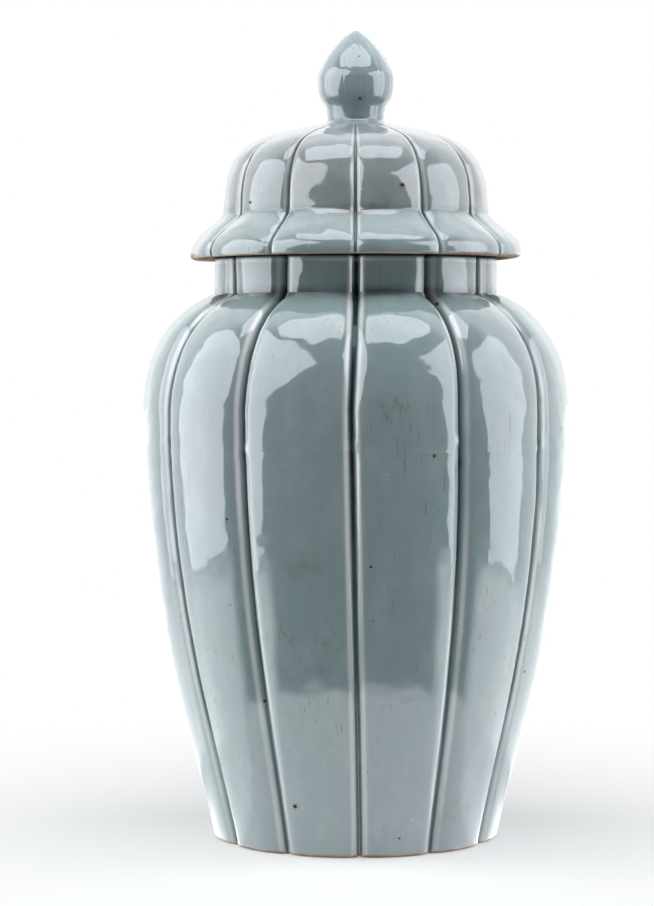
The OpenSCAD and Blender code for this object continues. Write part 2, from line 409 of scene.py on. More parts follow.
class Nodes:
    """A short way to write the nodes of a material or of the world."""

    def __init__(self, owner, output="ShaderNodeOutputMaterial"):
        owner.use_nodes = True
        self.owner = owner
        self.tree = owner.node_tree
        self.tree.nodes.clear()
        self.output = self.tree.nodes.new(output)

    def add(self, kind, inputs=None, **settings):
        node = self.tree.nodes.new(kind)
        for key, value in settings.items():
            setattr(node, key, value)
        for key, value in (inputs or {}).items():
            self.feed(node.inputs[key], value)
        return node

    def feed(self, socket, value):
        if isinstance(value, bpy.types.NodeSocket):
            self.tree.links.new(value, socket)
        else:
            socket.default_value = value

    def finish(self, shader):
        """Links the last shader to the output, and gives the material or the world."""
        self.tree.links.new(shader.outputs[0], self.output.inputs[0])
        return self.owner

    def math(self, operation, a, b=0.0, c=0.0):
        node = self.add("ShaderNodeMath", {0: a, 1: b, 2: c}, operation=operation)
        return node.outputs[0]

    def times(self, a, b):
        return self.math("MULTIPLY", a, b)

    def plus(self, a, b):
        return self.math("ADD", a, b)

    def ramp(self, value, low, high, out_low=0.0, out_high=1.0):
        """Value carried from low..high to out_low..out_high with soft ends."""
        inputs = {
            "Value": value, "From Min": low, "From Max": high,
            "To Min": out_low, "To Max": out_high,
        }
        node = self.add("ShaderNodeMapRange", inputs, interpolation_type="SMOOTHSTEP")
        return node.outputs[0]

    def stops(self, value, stops, top):
        """A grey that follows value through pairs of place and level, as a share of top."""
        node = self.add("ShaderNodeValToRGB", {0: value})
        elements = node.color_ramp.elements
        for place, _ in stops[1:-1]:
            elements.new(place)
        for element, (place, level) in zip(elements, stops):
            element.position = place
            element.color = grey(level / top)
        return node.outputs[0]

    def mix(self, share, a, b):
        """Colour a where share is 0, b where it is 1.

        The node has sockets for every kind of value: 6 and 7 take colours, and output 2 gives one.
        """
        return self.add("ShaderNodeMix", {0: share, 6: a, 7: b}, data_type="RGBA").outputs[2]

    def switch(self, share, first, second):
        """One shader where share is 0, the other where it is 1."""
        inputs = {0: share, 1: first.outputs[0], 2: second.outputs[0]}
        return self.add("ShaderNodeMixShader", inputs)

    def place(self, scale=(1, 1, 1), shift=(0, 0, 0)):
        """Position on the object, stretched and shifted."""
        where = self.add("ShaderNodeTexCoord").outputs["Object"]
        inputs = {"Vector": where, "Scale": scale, "Location": shift}
        return self.add("ShaderNodeMapping", inputs).outputs[0]

    def noise(self, scale, detail=2.0, rough=0.5, place=None):
        place = place or self.place()
        inputs = {"Vector": place, "Scale": scale, "Detail": detail, "Roughness": rough}
        return self.add("ShaderNodeTexNoise", inputs).outputs["Fac"]

    def bump(self, height):
        """A surface normal that follows a height in metres."""
        inputs = {"Height": height, "Strength": 1.0, "Distance": 1.0}
        return self.add("ShaderNodeBump", inputs).outputs[0]

    def look(self, name):
        return self.add("ShaderNodeAttribute", attribute_name=name).outputs["Fac"]

    def spots(self, per_metre, radius, share, shift):
        """1 inside a few small round spots, one in some cells of a grid. Radius is in cells."""
        inputs = {"Vector": self.place(shift=shift), "Scale": per_metre}
        cells = self.add("ShaderNodeTexVoronoi", inputs)
        chance = self.add("ShaderNodeSeparateColor", {0: cells.outputs["Color"]})
        size = self.math("MULTIPLY_ADD", chance.outputs[1], radius, 0.5 * radius)
        inside = self.ramp(self.math("DIVIDE", cells.outputs["Distance"], size), 1.0, 0.55)
        return self.times(inside, self.math("LESS_THAN", chance.outputs[0], share))


def grey(value):
    return (value, value, value, 1)


# Colours of the glaze and the clay. The deep and thin glaze colours also stand for painted shade
# and painted highlight, and SHADE is painted shade
CELADON = (0.225, 0.300, 0.308, 1)
CELADON_COOL = (0.235, 0.290, 0.312, 1)
CELADON_MAUVE = (0.245, 0.258, 0.270, 1)
# Partly pooled glaze and partly painted shade in grooves and folds
DEEP_GLAZE_AND_SHADE = (0.022, 0.048, 0.050, 1)
CELADON_PALE = (0.400, 0.460, 0.465, 1)
# Partly thin pale glaze and partly a painted highlight on the grooves' sides
THIN_GLAZE_AND_HIGHLIGHT = (0.760, 0.760, 0.765, 1)
GLAZE_SPECK = (0.80, 0.84, 0.84, 1)
CLAY_BUFF = (0.400, 0.290, 0.195, 1)
CLAY_GRAIN = (0.55, 0.42, 0.30, 1)
CLAY_TOAST = (0.205, 0.110, 0.055, 1)
IRON = (0.035, 0.020, 0.012, 1)
TEA = (0.150, 0.105, 0.070, 1)
# Painted shade: the brim's shadow on the neck's top and the contact shadow at the foot's edge
SHADE = (0.012, 0.013, 0.013, 1)
GLAZE_IOR = 1.5
CLAY_IOR = 1.45
# Heights of the glaze's fine texture, of pits sunk in it and of the clay's grain and drag marks
PEEL_HEIGHT = 0.030 * MM
PIT_DEPTH = 0.35 * MM
GRAIN_HEIGHT = 0.12 * MM
DRAG_HEIGHT = 0.25 * MM


def clay_colour(n):
    """Toasted stoneware: buff with orange-brown bloom and dark specks."""
    bloom = n.ramp(n.noise(38, 3), 0.38, 0.66)
    colour = n.mix(bloom, CLAY_BUFF, CLAY_TOAST)
    grain = n.ramp(n.noise(900, 3, 0.7), 0.35, 0.75)
    colour = n.mix(n.times(grain, 0.35), colour, CLAY_GRAIN)
    return n.mix(n.times(n.spots(420, 0.22, 0.25, (3, 1, 2)), 0.7), colour, IRON)


def clay_relief(n):
    """Height of the bare clay's surface, in metres."""
    grains = n.times(n.noise(1400, 4, 0.7), GRAIN_HEIGHT)
    drag = n.times(n.noise(60, 2, place=n.place((1, 1, 9))), DRAG_HEIGHT)
    return n.plus(grains, drag)


# Kiln marks on the front, in mm: x, y, z and radius
PINHOLES = [
    (-40, -99, 35, 1.4),
    (54, -89, 369, 1.2),
    (31, -86, 448, 1.5),
    (51, -139, 270, 1.1),
    (-71, -59, 438, 0.9),
    (3, -23, 511, 1.0),
    (-60, -103, 106, 0.9),
]
SMEARS = [
    (25, -147, 297, 17),
    (33, -147, 285, 12),
    (15, -107, 372, 10),
    (-16, -133, 150, 13),
    (21, -138, 176, 12),
    (-46, -127, 149, 10),
]
# Depth into the picture hardly counts for a mark, so it still lands on the swimming surface
DEPTH_SHARE = 0.1


def near_marks(n, marks, outer, inner):
    """1 within the inner share of a mark's radius, 0 past the outer share."""
    inside = 0.0
    flat = n.place((1, DEPTH_SHARE, 1))
    for x, y, z, radius in marks:
        place = {0: flat, 1: (x * MM, DEPTH_SHARE * y * MM, z * MM)}
        away = n.add("ShaderNodeVectorMath", place, operation="DISTANCE").outputs["Value"]
        inside = n.math("MAXIMUM", n.ramp(away, outer * radius * MM, inner * radius * MM), inside)
    return inside


def glaze_colour(n, pits, specks):
    """Celadon that darkens deep in the grooves, partly pooled glaze and partly painted shade, is
    pale on their sides, partly thin glaze and partly a painted highlight, and has kiln marks.
    """
    pool, crest, stain = n.look("pool"), n.look("crest"), n.look("stain")
    colour = n.mix(n.ramp(n.noise(7, 2), 0.35, 0.65), CELADON, CELADON_COOL)
    # The dome's glaze is greyer
    height = n.add("ShaderNodeSeparateXYZ", {0: n.place()}).outputs[2]
    above_brim = n.ramp(height, SEAT_Z, FOLD_Z + 15 * MM)
    below_crown = n.ramp(height, CROWN_Z, CROWN_Z - 12 * MM)
    colour = n.mix(n.times(n.times(above_brim, below_crown), 0.7), colour, CELADON_MAUVE)
    # Clouds, deep pools that are partly painted shade, and pale lines that are partly thin glaze
    # and partly a painted highlight
    cloud = n.noise(55, 5, 0.62, n.place((1, 1, 0.45)))
    colour = n.mix(n.ramp(cloud, 0.42, 0.75, 0.0, 0.22), colour, CELADON_PALE)
    uneven = n.ramp(n.noise(30, 3, place=n.place((1, 1, 0.25))), 0.3, 0.6, 0.45, 1.0)
    colour = n.mix(n.times(n.times(pool, uneven), 0.95), colour, DEEP_GLAZE_AND_SHADE)
    # Pale lines on the grooves' sides: partly thin glaze and partly a painted highlight, patchy
    patchy_thin_glaze_and_highlight = n.ramp(n.noise(26, 3, place=n.place((1, 1, 0.2), (4, 4, 4))), 0.34, 0.58, 0.3, 1.0)
    colour = n.mix(n.times(n.times(crest, patchy_thin_glaze_and_highlight), 0.85), colour, THIN_GLAZE_AND_HIGHLIGHT)
    # Tea-coloured stains in the folds, runs down the walls and smudges
    patches = n.ramp(n.noise(34, 4, 0.6, n.place(shift=(2, 5, 1))), 0.50, 0.68)
    colour = n.mix(n.times(n.times(patches, stain), 0.8), colour, TEA)
    runs = n.ramp(n.noise(1, 3, 0.6, n.place((420, 420, 26))), 0.60, 0.72)
    where = n.ramp(n.noise(19, 2, place=n.place(shift=(7, 3, 9))), 0.48, 0.62)
    colour = n.mix(n.times(n.times(runs, where), 0.6), colour, TEA)
    smudges = n.ramp(n.noise(11, 5, 0.7, n.place(shift=(1, 8, 6))), 0.60, 0.76, 0.0, 0.38)
    colour = n.mix(smudges, colour, TEA)
    # Marks of the kiln
    streaky = n.ramp(n.noise(1, 4, 0.7, n.place((190, 190, 90))), 0.50, 0.66, 0.0, 0.5)
    colour = n.mix(n.times(near_marks(n, SMEARS, 1.0, 0.3), streaky), colour, TEA)
    colour = n.mix(n.times(near_marks(n, PINHOLES, 2.4, 1.0), 0.4), colour, TEA)
    colour = n.mix(n.times(specks, 0.75), colour, GLAZE_SPECK)
    return n.mix(pits, colour, IRON)


def glaze_material(name):
    """Glossy celadon glaze that gives way to bare clay past the glaze line."""
    n = Nodes(bpy.data.materials.new(name))
    pits = n.spots(44, 0.045, 0.6, (5, 5, 5))
    pits = n.math("MAXIMUM", pits, near_marks(n, PINHOLES, 1.0, 0.75))
    specks = n.spots(60, 0.04, 0.35, (9, 2, 4))
    ragged = n.math("MULTIPLY_ADD", n.noise(210, 3, 0.6), 2.6, -1.3)
    bare = n.ramp(n.plus(n.look("bare"), ragged), -0.15, 0.25)
    soot = n.look("soot")
    colour = n.mix(bare, glaze_colour(n, pits, specks), clay_colour(n))
    # Painted shade darkens the glaze under the brim and at the foot's edge
    colour = n.mix(soot, colour, SHADE)
    gloss = n.ramp(n.noise(95, 4, 0.6), 0.3, 0.8, 0.045, 0.11)
    dull = n.times(n.math("MAXIMUM", bare, soot), 0.68)
    rough = n.plus(dull, n.plus(gloss, n.times(pits, 0.3)))
    peel = n.times(n.noise(170, 2), PEEL_HEIGHT)
    sunk = n.times(n.plus(pits, n.times(bare, 0.5)), -PIT_DEPTH)
    height = n.plus(n.plus(peel, sunk), n.times(clay_relief(n), bare))
    # Pits and the painted shade mirror next to nothing
    mirroring = n.math("MULTIPLY_ADD", n.math("MAXIMUM", pits, soot), -0.47, 0.5)
    inputs = {"Base Color": colour, "Roughness": rough, "IOR": GLAZE_IOR}
    inputs |= {"Normal": n.bump(height), "Specular IOR Level": mirroring}
    return n.finish(n.add("ShaderNodeBsdfPrincipled", inputs))


def clay_material(name):
    """Unglazed toasted stoneware."""
    n = Nodes(bpy.data.materials.new(name))
    rough = n.ramp(n.noise(300, 3), 0.3, 0.7, 0.62, 0.88)
    inputs = {"Base Color": clay_colour(n), "Roughness": rough, "IOR": CLAY_IOR}
    inputs["Normal"] = n.bump(clay_relief(n))
    return n.finish(n.add("ShaderNodeBsdfPrincipled", inputs))


GLAZE = glaze_material("celadon_glaze")
CLAY = clay_material("bare_clay")


# ---------------------------------------------------------------- the jar

def seam_ridge(co, normal):
    """The faint ridge where the body's sections were luted. It wanders a little up and down."""
    line = SEAM_Z - 1 * MM + 2.2 * MM * seam_wander(co * [1, 1, 0])
    away = co[:, 2] - line
    ridge = 0.30 * MM * bell(away, 1.6 * MM) - 0.22 * MM * bell(away, 7 * MM)
    radial = co[:, :2] / np.linalg.norm(co[:, :2], axis=1, keepdims=True)
    return co + np.column_stack([radial * (ridge * normal[0])[:, None], ridge * normal[1]])


# The glaze has run down and fills the grooves near the foot: by height in metres, how much of
# a groove is filled, and how much is left of its dark pool and painted shade, and of its pale
# lines and painted highlight
FILLED_HEIGHTS = [0, 0.07, 0.16, 0.24]
FILLED_SHARES = [0.52, 0.52, 0.36, 0.0]
FILLED_POOLS_AND_SHADE = [0.45, 0.45, 0.7, 1.0]
FILLED_CRESTS = [0.5, 0.55, 0.75, 1.0]
# The surface swims less there
CALM_HEIGHTS = [0.10, 0.26]
CALM_SHARES = [0.3, 1.0]
# Where the sections were luted, the grooves are shallower
SEAM_PINCH = 0.42
# Glaze line, and the painted shade that stands for the brim's shadow on the neck, which the brim
# hides
GLAZE_LINE_Z = RIM_Z + 1.8 * MM
SHADE_Z, SHADE_HALF = RIM_Z + 0.2 * MM, 2.0 * MM


def by_height(z, heights, values):
    return float(np.interp(z, heights, values))


def body_ring(point, normal, **looks):
    """A ring of the body or the neck, across the lobes."""
    radius, z = point
    swell = LOBE_SWELL * radius / BELLY_R
    return lobed_ring(point, normal, swell, GROOVE_D, GROOVE_W, body_twist(z), **looks)


def body_rings(handles, t, level_ends=(), **looks):
    """Rings of the body's outside along one curve. A level end has its normal made level."""
    points, normals = on_curve(handles, t)
    for i, (point, normal) in enumerate(zip(points, normals)):
        if i in level_ends or i - len(points) in level_ends:
            normal = np.array([1.0, 0.0])
        z = point[1]
        line = SEAM_Z + 1.5 * MM + LUTE_STEP[2 * LOBE + SECOND_HALF]
        pinch = SEAM_PINCH * bell(z - line, 3.5 * MM)
        pinch = pinch + by_height(z, FILLED_HEIGHTS, FILLED_SHARES)
        swim = by_height(z, CALM_HEIGHTS, CALM_SHARES)
        ring = body_ring(point, normal, pinch=pinch, swim=swim, **looks)
        ring.pool = ring.pool * by_height(z, FILLED_HEIGHTS, FILLED_POOLS_AND_SHADE)
        ring.crest = ring.crest * by_height(z, FILLED_HEIGHTS, FILLED_CRESTS)
        ring.co = seam_ridge(ring.co, normal)
        yield ring


def flat_to(ring, z):
    """Brings a ring exactly to a level."""
    ring.co[:, 2] = z
    return ring


def inner_point(handles, t, depth):
    """A point of an inner wall, a depth in from an outline."""
    points, normals = on_curve(handles, [t])
    return points[0] - depth * normals[0]


SEAM_T = share_at(BELLY, SEAM_Z)
EDGE_T = share_at(BELLY, FOOT_EDGE)
INNER_SEAM_R = float(inner_point(BELLY, SEAM_T, BODY_WALL)[0])
# Normal of an upright wall
LEVEL = (1.0, 0.0)
# The foot's outer edge: radius and height, mm past the glaze line, and painted shade standing for
# the contact shadow
FOOT_ROUND = [
    (FOOT_R - 1.9 * MM, 0, 3, 0.9),
    (FOOT_R - 1.0 * MM, 0.35 * MM, 2, 0.8),
    (FOOT_R - 0.3 * MM, 1.0 * MM, 0.6, 0.25),
]


def jar_lower():
    skin = Skin()
    skin.rounds([(radius, RECESS_Z) for radius in (4 * MM, 40 * MM, 68 * MM)], RAW, bare=4)
    recess = fillet((RECESS_R - 2 * MM, RECESS_Z - 2 * MM), 2 * MM, 90, 0)
    recess += fillet((RECESS_R + 1.2 * MM, 1.2 * MM), 1.2 * MM, 180, 270)
    skin.rounds(recess, RAW, bare=4)
    swell = LOBE_SWELL * FOOT_R / BELLY_R
    # The foot's edge gets painted shade for its contact shadow
    for radius, z, bare, soot in FOOT_ROUND:
        ring = lobed_ring(
            (radius, z), LEVEL, swell, GROOVE_D, GROOVE_W, body_twist(0),
            swim=0.3, bare=bare, pinch=FILLED_SHARES[0], soot=soot,
        )
        skin.add(flat_to(ring, z))
    t = np.linspace(EDGE_T, SEAM_T, 128)
    rings = list(body_rings(BELLY, t, level_ends=(0, -1)))
    for ring, height in zip(rings, on_curve(BELLY, t)[0][:, 1]):
        ring.bare = np.full(COLUMNS, min(20.0, 0.1 - (height - FOOT_EDGE) / MM * 0.9))
        skin.add(ring)
    flat_to(rings[-1], SEAM_Z)
    skin.end_with_joint()
    skin.rounds([(INNER_SEAM_R, SEAM_Z)], crease=True)
    low = share_at(BELLY, FLOOR_Z + FLOOR_ROUND)
    wall = [inner_point(BELLY, t, BODY_WALL) for t in np.linspace(SEAM_T, low, 18)[1:]]
    radius, z = wall[-1]
    corner = fillet((radius - FLOOR_ROUND, z), FLOOR_ROUND, 0, -90, 5)[1:]
    floor_z = corner[-1][1]
    skin.rounds(wall + corner + [(radius, floor_z) for radius in (50 * MM, 20 * MM, 3 * MM)])
    return skin.build("jar_lower_wall", looped=False)


def jar_upper():
    skin = Skin()
    rings = list(body_rings(BELLY, np.linspace(SEAM_T, 1, 16), level_ends=(0,)))
    flat_to(rings[0], SEAM_Z)
    t = np.linspace(0, 1, 76)[1:]
    shoulder = list(body_rings(SHOULDER, t, level_ends=(-1,)))
    points = on_curve(SHOULDER, t)[0]
    for ring, point in zip(shoulder, points):
        away = math.hypot(*(point - points[-1]))
        # The fold where the shoulder meets the neck is darkened by pooled glaze and painted shade,
        # and stained
        ring.pool = np.clip(ring.pool + 0.75 * bell(away, 5 * MM), 0, 1)
        ring.stain = np.full(COLUMNS, 0.35 * bell(away, 8 * MM))
    flat_to(shoulder[-1], NECK_Z)
    for ring in rings + shoulder:
        skin.add(ring)
    skin.creases[0] = True
    skin.end_with_joint()
    skin.rounds([(MOUTH_R, NECK_Z)], crease=True)
    skin.rounds(inner_point(SHOULDER, t, BODY_WALL) for t in np.linspace(1, 0, 22))
    skin.rounds(inner_point(BELLY, t, BODY_WALL) for t in np.linspace(1, SEAM_T, 6)[1:-1])
    skin.rounds([(INNER_SEAM_R, SEAM_Z)])
    skin.end_with_joint()
    return skin.build("jar_upper_wall", looped=True)


def jar_neck():
    skin = Skin()
    swell = LOBE_SWELL * NECK_R / BELLY_R
    for z in np.linspace(NECK_Z, SEAT_Z - NECK_EDGE, 56):
        # The neck's foot is darkened by pooled glaze and painted shade, and stained
        base = 0.8 * bell(z - NECK_Z, 4 * MM)
        # Painted shade at the top of the neck stands for the brim's shadow
        ring = body_ring(
            (NECK_R, z), LEVEL, extra_pool=base, stain=0.5 * base,
            bare=(z - GLAZE_LINE_Z) / MM, soot=bell(z - SHADE_Z, SHADE_HALF, 4),
        )
        # A pale line round the neck under the rim, partly thin glaze and partly a painted highlight
        ring.crest = np.maximum(ring.crest, 0.5 * bell(z - RIM_Z + 3.6 * MM, 0.9 * MM))
        skin.add(ring)
    skin.creases[0] = True
    for radius, z in fillet((NECK_R - NECK_EDGE, SEAT_Z - NECK_EDGE), NECK_EDGE, 22, 90, 3):
        ring = lobed_ring((radius, z), LEVEL, swell, GROOVE_D, GROOVE_W, body_twist(z), bare=9)
        skin.add(flat_to(ring, z), RAW)
    skin.rounds(fillet((MOUTH_R + 1.5 * MM, SEAT_Z - 1.5 * MM), 1.5 * MM, 90, 180, 4), RAW, bare=9)
    for z in np.linspace(SEAT_Z - 6 * MM, NECK_Z, 8):
        skin.add(round_ring(MOUTH_R, z, bare=(z - SEAT_Z + 9 * MM) / MM))
    skin.end_with_joint()
    return skin.build("jar_neck_wall", looped=True)


# ---------------------------------------------------------------- the lid

# Past this radius the brim sags to one side, by this much at its edge
WARP_FROM_R = NECK_R + 5 * MM
BRIM_WARP = 1.1 * MM
# The bare line at the brim's edge, the higher patch that was wiped at its far left, where that
# patch starts and how soon it is full, as shares of the brim's radius, and how far back it goes
BARE_LINE = 0.9 * MM
WIPED_HEIGHT = 3.2 * MM
WIPED_FROM, WIPED_FADE = 0.9, 0.08
WIPED_BACK_Y = 0.04
# The lid's stains follow its grooves, and its pools and pale lines, with their painted shade
# and painted highlight, are weaker than the body's
LID_STAIN, LID_POOL_STAIN = 0.2, 0.8
LID_POOL_AND_SHADE, LID_CREST = 0.5, 0.62


def lid_ring(point, normal, fade=1.0, **looks):
    """A ring of the lid. Past the neck the brim sags a little to one side."""
    share = min(1.0, point[0] / DOME_R)
    depths = LID_SWELL * share * fade, LID_GROOVE_D * fade, LID_GROOVE_W * share
    ring = lobed_ring(point, normal, *depths, LID_TURN, wander=0.7, **looks)
    radius = np.hypot(ring.co[:, 0], ring.co[:, 1])
    out = np.clip((radius - WARP_FROM_R) / (BRIM_R - WARP_FROM_R), 0, 1)
    ring.co[:, 2] += BRIM_WARP * out * ring.co[:, 0] / BRIM_R
    return ring


def brim_ring(point, normal, **looks):
    """A ring of the brim, bare near its edge."""
    ring = lid_ring(point, normal, **looks)
    wiped = np.clip((-ring.co[:, 0] / BRIM_R - WIPED_FROM) / WIPED_FADE, 0, 1)
    wiped = wiped * (ring.co[:, 1] < WIPED_BACK_Y)
    ring.bare = (RIM_Z + BARE_LINE + WIPED_HEIGHT * wiped - point[1]) / MM
    return ring


def lid_dome():
    skin = Skin()
    hollow_top = CROWN_Z - LID_WALL
    inner = [inner_point(DOME, t, LID_WALL) for t in np.linspace(1, 0, 24)]
    skin.rounds([(3 * MM, hollow_top)])
    skin.rounds((radius, min(z, hollow_top)) for radius, z in inner if radius > 6 * MM)
    seat = [(RING_IN_R, LEDGE_TOP_Z), (RING_IN_R, LID_SEAT_Z), (SEAT_RECESS_R, LID_SEAT_Z)]
    skin.rounds(seat, RAW, crease=True, bare=6)
    underside = [(RIM_IN_R - 0.6 * MM, RIM_Z + 0.9 * MM), (RIM_IN_R + 0.4 * MM, RIM_Z)]
    skin.rounds(underside, RAW, bare=6)
    for point in fillet((BRIM_R - 2.2 * MM, RIM_Z + 2.2 * MM), 2.2 * MM, -80, -8, 5):
        skin.add(brim_ring(point, LEVEL, swim=0.4))
    points, normals = on_curve(BRIM, np.linspace(0, 1, 46))
    for point, normal in zip(points, normals):
        # The fold between brim and dome is darkened by pooled glaze and painted shade, and stained
        fold = bell(math.hypot(*(point - points[-1])), 3.5 * MM)
        looks = {"extra_pool": 0.8 * fold, "stain": 0.5 * fold, "swim": 1.6}
        skin.add(brim_ring(point, normal, **looks))
    t = np.linspace(0, 1, 96)[1:]
    points, normals = on_curve(DOME, t)
    for share, point, normal in zip(t, points, normals):
        # The fold and the collar round the crown are darkened by pooled glaze and painted shade
        fold = bell(point[1] - FOLD_Z, 3 * MM)
        collar = bell(point[0] - CROWN_R, 4 * MM)
        looks = {"extra_pool": 0.8 * fold + 0.5 * collar, "stain": 0.6 * fold}
        fade = min(1.0, 1.6 * (1 - share))
        skin.add(lid_ring(point, normal, fade, swim=1.1 + 0.5 * fold, **looks))
    for ring in skin.rings:
        ring.stain = np.clip(ring.stain + LID_STAIN + LID_POOL_STAIN * ring.pool, 0, 1)
        ring.pool = LID_POOL_AND_SHADE * ring.pool
        ring.crest = LID_CREST * ring.crest
    flat_to(skin.rings[-1], CROWN_Z)
    skin.creases[-1] = True
    skin.rounds([(12 * MM, CROWN_Z), (3 * MM, CROWN_Z)])
    return skin.build("lid_dome_and_brim", looped=False)


# The bud's faint ribs, the wavy luting line round its foot and the foot's outline
BUD_SWELL, BUD_GROOVE_D = 0.16 * MM, 0.05 * MM
luting_wander = wave_field(21, 24 * MM)
LUTING_DEPTH = 0.35 * MM
BUD_FOOT = [
    (CROWN_R - 1 * MM, CROWN_Z),
    (WAIST_R + 1.3 * MM, CROWN_Z + 0.7 * MM),
    (WAIST_R + 0.5 * MM, CROWN_Z + 1.7 * MM),
]


def finial():
    skin = Skin()
    skin.rounds([(3 * MM, CROWN_Z), (15 * MM, CROWN_Z)], RAW)
    t = np.linspace(0, 1, 40)
    rows = [(point, (0.7, 0.7)) for point in BUD_FOOT]
    rows += list(zip(*on_curve(BUD_LOW, t))) + list(zip(*on_curve(BUD_HIGH, t[1:-1])))
    for point, normal in rows:
        up = (point[1] - WAIST_Z) / (TIP_Z - WAIST_Z)
        fade = max(0.0, min(1.0, 5 * up + 0.1, 6 * (1 - up)))
        width = 2.6 * MM * point[0] / BUD_R + 0.1 * MM
        ring = lobed_ring(
            point, normal, BUD_SWELL * fade, BUD_GROOVE_D * fade, width,
            turn=0.2, wander=1.5, swim=0.5,
        )
        line = WAIST_Z - 0.4 * MM + 0.5 * MM * luting_wander(ring.co * [1, 1, 0])
        notch = bell(ring.co[:, 2] - line, 0.55 * MM)
        pull = 1 - LUTING_DEPTH * notch / max(point[0], MM)
        ring.co[:, :2] *= pull[:, None]
        # The luting line is darkened by pooled glaze and painted shade
        ring.pool = np.clip(ring.pool + 0.7 * notch, 0, 1)
        ring.stain = 0.3 * notch
        skin.add(ring)
    skin.creases[2] = True
    return skin.build("lid_bud_finial", looped=False)


def locating_ring():
    """The raw flange that holds the lid in the mouth, a little uneven from turning."""
    skin = Skin()
    low, high = RING_Z, LID_SEAT_Z
    outline = [(RING_IN_R, high), (RING_IN_R, (low + high) / 2)]
    outline += fillet((RING_IN_R + 1.5 * MM, low + 1.5 * MM), 1.5 * MM, 180, 270)
    outline += fillet((RING_R - 1.5 * MM, low + 1.5 * MM), 1.5 * MM, 270, 360)
    outline += [(RING_R, (low + high) / 2), (RING_R, high)]
    for i, (radius, z) in enumerate(outline):
        ring = round_ring(radius, z, bare=9)
        wobble = 0.25 * MM * glaze_swim(ring.co) * (z < high)
        ring.co[:, :2] *= (1 - np.abs(wobble) / radius)[:, None]
        skin.add(ring, RAW, crease=i in (0, len(outline) - 1))
    return skin.build("lid_locating_flange", looped=True)


def place_pieces():
    """Each finished piece stands for its CAD node and rides on that node's body."""
    pieces = [
        (jar_lower(), "jar_lower_section", "jar", "celadon_glaze"),
        (jar_upper(), "jar_upper_section", "jar", "celadon_glaze"),
        (jar_neck(), "jar_neck", "jar", "celadon_glaze"),
        (lid_dome(), "lid_shell", "lid", "celadon_glaze"),
        (finial(), "lid_finial", "lid", "celadon_glaze"),
        (locating_ring(), "lid_locating_ring", "lid", "bare_clay"),
    ]
    for piece, node, body, slot in pieces:
        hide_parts(node)
        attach(piece, body)


place_pieces()


# ---------------------------------------------------------------- studio

MIRRORED_TINT = (0.92, 0.95, 1.0)
FILL_TINT = (0.955, 0.985, 1.0)
FLOOR_TINT = (0.95, 0.98, 1, 1)
CARD_X = 0.75
CARD_Z = 1.6
# Outlines of the bright soft boxes: (y, z) at either side, (x, y) overhead
LEFT_CARD = [
    (0.15, 0.02), (-0.47, 0.02), (-0.58, 0.36), (-0.9, 0.6), (-1.45, 1.05), (-2.3, 2.2),
    (-0.9, 1.5), (-0.5, 1.27), (0.0, 1.13), (0.2, 0.95),
]
RIGHT_CARD = [
    (0.08, 0.02), (-0.33, 0.02), (-0.46, 0.3), (-0.52, 0.55), (-0.8, 0.85), (-1.0, 1.2),
    (-0.58, 1.1), (-0.2, 1.0), (0.1, 0.93),
]
TOP_CARD = [(0.78, -0.05), (0.85, -0.6), (0.5, -0.88), (-0.5, -0.9), (-0.9, -0.6), (-0.76, -0.03)]
BACK_CARD = [(0.78, 0.8), (0.78, -0.02), (-0.76, 0.0), (-0.76, 0.8)]
# The cards' brightness, and each soft lamp's place, target, size and brightness
LEFT_GLOW, RIGHT_GLOW, TOP_GLOW, BACK_GLOW = 7.3, 6.7, 7.8, 3.0
MIDDLE = (0, 0, 0.3)
FILLS = {
    "left_fill": ((-1.6, 0.2, 0.9), MIDDLE, (1.2, 1.2), 5.1),
    "right_fill": ((1.6, 0.2, 0.9), MIDDLE, (1.2, 1.2), 4.4),
    "front_top_fill": ((0, -0.585, 1.6), (0, -0.585, 0), (1.5, 1.07), 4.35),
}


def flat_face(name, corners_at, material):
    """One flat face as an object."""
    mesh = bpy.data.meshes.new(name)
    mesh.from_pydata(corners_at, [], [list(range(len(corners_at)))])
    mesh.materials.append(material)
    obj = bpy.data.objects.new(name, mesh)
    bpy.context.scene.collection.objects.link(obj)
    return obj


def glow_card(name, corners_at, radiance):
    """A flat bright panel that only the glaze mirrors."""
    n = Nodes(bpy.data.materials.new(name))
    light = n.add("ShaderNodeEmission", {"Color": (*MIRRORED_TINT, 1), "Strength": radiance})
    card = flat_face(name, corners_at, n.finish(light))
    card.visible_camera = False
    card.visible_diffuse = False
    card.visible_shadow = False
    card.visible_transmission = False


def fill_lamp(name, place, target, size, radiance):
    """A soft lamp for the glaze's colour and the floor, which the glaze doesn't mirror."""
    aim = Vector(target) - Vector(place)
    lamp = bpy.data.lights.new(name, "AREA")
    lamp.shape = "RECTANGLE"
    lamp.size, lamp.size_y = size
    lamp.color = FILL_TINT
    lamp.energy = radiance * math.pi * size[0] * size[1]
    obj = bpy.data.objects.new(name, lamp)
    bpy.context.scene.collection.objects.link(obj)
    turned = aim.to_track_quat("-Z", "Y").to_matrix().to_4x4()
    obj.matrix_world = Matrix.Translation(place) @ turned
    obj.visible_glossy = False
    obj.visible_camera = False


def build_lights():
    """Soft boxes at both sides and overhead, and the light that they spread."""
    glow_card("left_card", [(-CARD_X, y, z) for y, z in LEFT_CARD], LEFT_GLOW)
    glow_card("right_card", [(CARD_X, y, z) for y, z in RIGHT_CARD], RIGHT_GLOW)
    glow_card("top_card", [(x, y, CARD_Z) for x, y in TOP_CARD], TOP_GLOW)
    glow_card("back_card", [(x, y, CARD_Z) for x, y in BACK_CARD], BACK_GLOW)
    for name, settings in FILLS.items():
        fill_lamp(name, *settings)


